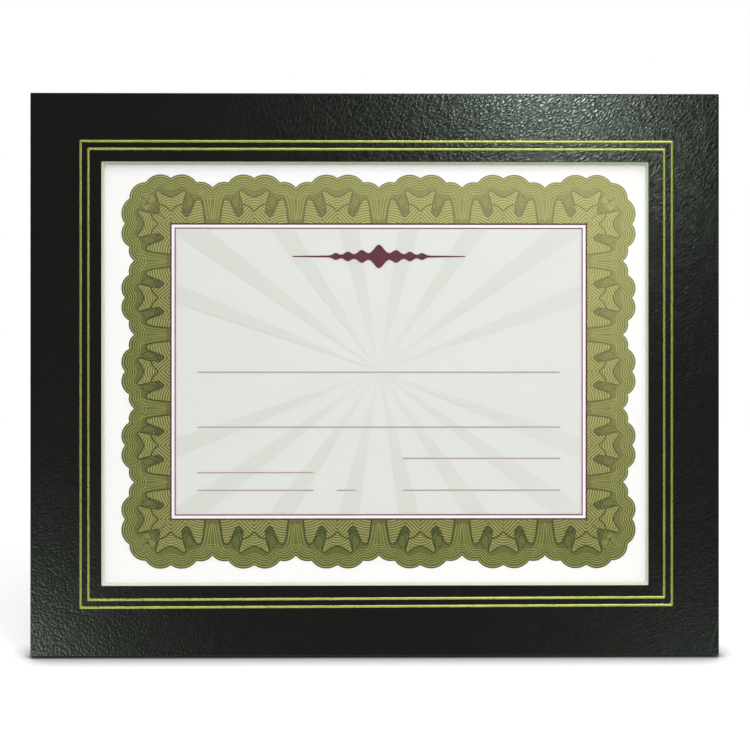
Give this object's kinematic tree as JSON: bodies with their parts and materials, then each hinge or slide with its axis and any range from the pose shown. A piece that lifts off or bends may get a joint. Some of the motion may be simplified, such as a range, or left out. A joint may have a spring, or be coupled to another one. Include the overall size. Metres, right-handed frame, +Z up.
{
  "type": "document frame",
  "caption": "Landscape board frame in black leather-grained cover with two gold foil borders, a bevelled window over a printed certificate, and a hinged easel leg behind.",
  "frame": {"origin": "middle of the bottom of the bounding box, on the surface that the frame stands on", "axes": "+X along the frame's width, to the viewer's right; +Y from the front towards the easel leg; +Z up"},
  "size_m": [0.343, 0.0954, 0.2718],
  "materials": {
    "leatherette": "black leather-grained cover sheet, low sheen",
    "board_core": "pale grey-green board core, seen at the bevelled window edge",
    "gold_foil": "hot-stamped yellow-green gold foil",
    "clear_film": "clear window film",
    "certificate_paper": "smooth white printing paper",
    "olive_ink": "olive line print",
    "burgundy_ink": "burgundy print",
    "rose_ink": "thin rose rules",
    "pale_green_ink": "pale grey-green tint",
    "pale_grey_ink": "pale grey tint",
    "chipboard": "grey-brown chipboard",
    "black_board": "black-dyed board",
    "black_paper": "matte black paper",
    "nickel": "nickel-plated steel"
  },
  "bodies": {
    "frame": {"front_cover": "leatherette", "front_board": "board_core", "inner_foil_border": "gold_foil", "outer_foil_border": "gold_foil", "window_film": "clear_film", "certificate": "certificate_paper", "border_print": "olive_ink", "panel_keyline_outer": "burgundy_ink", "panel_keyline_inner": "burgundy_ink", "panel_field": "pale_green_ink", "panel_rays": "pale_grey_ink", "heading_ornament": "burgundy_ink", "writing_line_1": "rose_ink", "writing_line_2": "rose_ink", "writing_line_3": "rose_ink", "writing_line_4": "rose_ink", "writing_line_5": "rose_ink", "writing_line_6": "rose_ink", "writing_line_7": "rose_ink", "spacer_top": "chipboard", "spacer_bottom": "chipboard", "spacer_closed_end": "chipboard", "back_lining": "black_paper", "back_board": "black_board", "back_paper": "black_paper", "hinge_back_leaf": "nickel", "hinge_pin": "nickel", "hinge_back_rivet_1": "nickel", "hinge_back_rivet_2": "nickel", "hinge_back_rivet_3": "nickel", "sawtooth_hanger": "nickel", "hanger_rivet_1": "nickel", "hanger_rivet_2": "nickel"},
    "easel_leg": {"easel_leg_board": "chipboard", "easel_leg_cover": "leatherette", "hinge_leg_leaf": "nickel", "hinge_leg_rivet_1": "nickel", "hinge_leg_rivet_2": "nickel", "hinge_leg_rivet_3": "nickel"}
  },
  "joints": [
    {"name": "easel_hinge", "type": "hinge", "parent": "frame", "child": "easel_leg", "pos_m": [0, 0.00675, 0.17288], "axis": [1, 0, 0], "range_deg": [-28, 0]}
  ]
}
